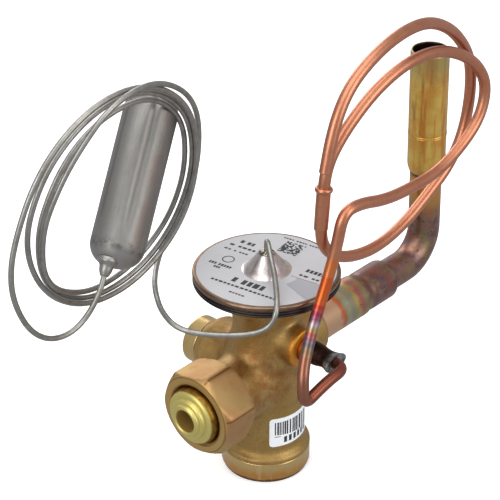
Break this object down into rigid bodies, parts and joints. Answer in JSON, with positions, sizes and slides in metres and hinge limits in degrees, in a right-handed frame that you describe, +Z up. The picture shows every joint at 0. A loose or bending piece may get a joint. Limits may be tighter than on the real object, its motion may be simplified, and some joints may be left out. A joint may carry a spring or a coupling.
{
  "type": "thermostatic expansion valve",
  "caption": "Brass expansion valve with a welded diaphragm head, coiled capillary and bulb, swivel inlet nut, copper outlet elbow and a looped equaliser line.",
  "frame": {"origin": "centre of the base face, on the valve axis", "axes": "+Z up through the diaphragm head, -X out of the inlet nut, +X along the outlet stub, +Y out of the setting port"},
  "size_m": [0.149, 0.0689, 0.1322],
  "materials": {
    "forged_brass": "blasted forging",
    "brass": "turned",
    "nut_brass": "turned, tarnished",
    "nose_brass": "turned, pale",
    "seal": "matt",
    "stainless": "drawn",
    "bulb_steel": "brushed",
    "head_steel": "turned, darkened",
    "label_foil": "satin film",
    "braze": "braze metal",
    "copper": "drawn copper",
    "copper_dark": "heat tinted copper",
    "copper_burnt": "heat blackened copper",
    "paper": "matt paper"
  },
  "bodies": {
    "valve": {"valve_body": "forged_brass", "bottom_plug": "brass", "plug_seal": "seal", "inlet_nose": "nose_brass", "inlet_strainer": "stainless", "spindle_packing": "seal", "gland_nut": "brass", "cap_seal": "seal", "valve_seat": "stainless", "head_base": "head_steel", "diaphragm": "stainless", "head_cover": "head_steel", "head_label": "label_foil", "braze_ring": "braze", "outlet_stub": "copper_dark", "outlet_tube": "copper_dark", "equaliser_stub": "copper_burnt", "equaliser_line": "copper", "equaliser_tail": "copper", "bulb": "bulb_steel", "capillary": "stainless", "body_label": "paper"},
    "nut": {"inlet_nut": "nut_brass"},
    "cap": {"setting_cap": "brass"},
    "spindle": {"setting_spindle": "brass"},
    "carrier": {"spring_carrier": "brass"},
    "poppet": {"valve_cone": "stainless", "push_rod": "stainless", "thrust_plate": "stainless", "setting_spring": "stainless"}
  },
  "joints": [
    {"name": "nut_spin", "type": "hinge", "parent": "valve", "child": "nut", "pos_m": [-0.023, 0, 0.0301], "axis": [-1, 0, 0], "continuous": true},
    {"name": "cap_travel", "type": "slide", "parent": "valve", "child": "cap", "axis": [0, 1, 0], "range_m": [0, 0.006]},
    {"name": "spindle_travel", "type": "slide", "parent": "valve", "child": "spindle", "axis": [0, -1, 0], "range_m": [-0.0007, 0.0007]},
    {"name": "carrier_lift", "type": "slide", "parent": "valve", "child": "carrier", "axis": [0, 0, 1], "range_m": [-0.0007, 0.0007]},
    {"name": "valve_lift", "type": "slide", "parent": "valve", "child": "poppet", "axis": [0, 0, -1], "range_m": [0, 0.0007], "stiffness_N_per_m": 2000, "springref_m": -0.001, "deforming": ["setting_spring"]}
  ],
  "couplings": [
    {"joint": "carrier_lift", "follows": "spindle_travel", "ratio": 1}
  ]
}
